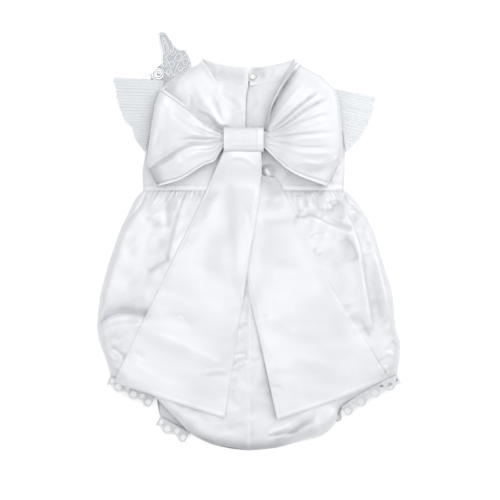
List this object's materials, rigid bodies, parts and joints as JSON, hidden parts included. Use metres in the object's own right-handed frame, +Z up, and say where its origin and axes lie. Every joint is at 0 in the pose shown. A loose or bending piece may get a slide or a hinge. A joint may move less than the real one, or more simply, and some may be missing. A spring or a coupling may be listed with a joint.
{
  "type": "baptism romper",
  "caption": "Sleeveless satin baptism romper with tulle flutter sleeves, bubble bloomer, lace leg edges and a large sash bow, laid out on its front",
  "frame": {"origin": "middle of the laid-out garment's bounding box, on the surface it lies on", "axes": "+Z up off the surface, out of the garment's back; +Y from the crotch to the collar; +X to the viewer's right"},
  "size_m": [0.3288, 0.4535, 0.032],
  "materials": {
    "satin": "cool white satin with a soft sheen",
    "bow_satin": "slightly brighter white satin with narrow rolled hems",
    "tulle": "fine pleated translucent tulle",
    "lace": "matte white corded lace",
    "button": "white pearl",
    "thread": "white twisted thread"
  },
  "bodies": {
    "root": {"bodice_front": "satin", "bodice_back_left": "satin", "bodice_back_right": "satin", "collar": "satin", "button": "button", "button_loop": "thread", "sleeve_left": "tulle", "sleeve_right": "tulle", "bloomer_front": "satin", "bloomer_back_left": "satin", "bloomer_back_right": "satin", "leg_lace_back_left": "lace", "leg_lace_back_right": "lace", "leg_lace_front_left": "lace", "leg_lace_front_right": "lace", "bow_loop_left": "bow_satin", "bow_loop_right": "bow_satin", "bow_knot": "bow_satin", "bow_tail_left": "bow_satin", "bow_tail_right": "bow_satin", "applique_wing": "lace", "applique_rosette": "bow_satin", "applique_leaf": "lace"}
  },
  "joints": []
}
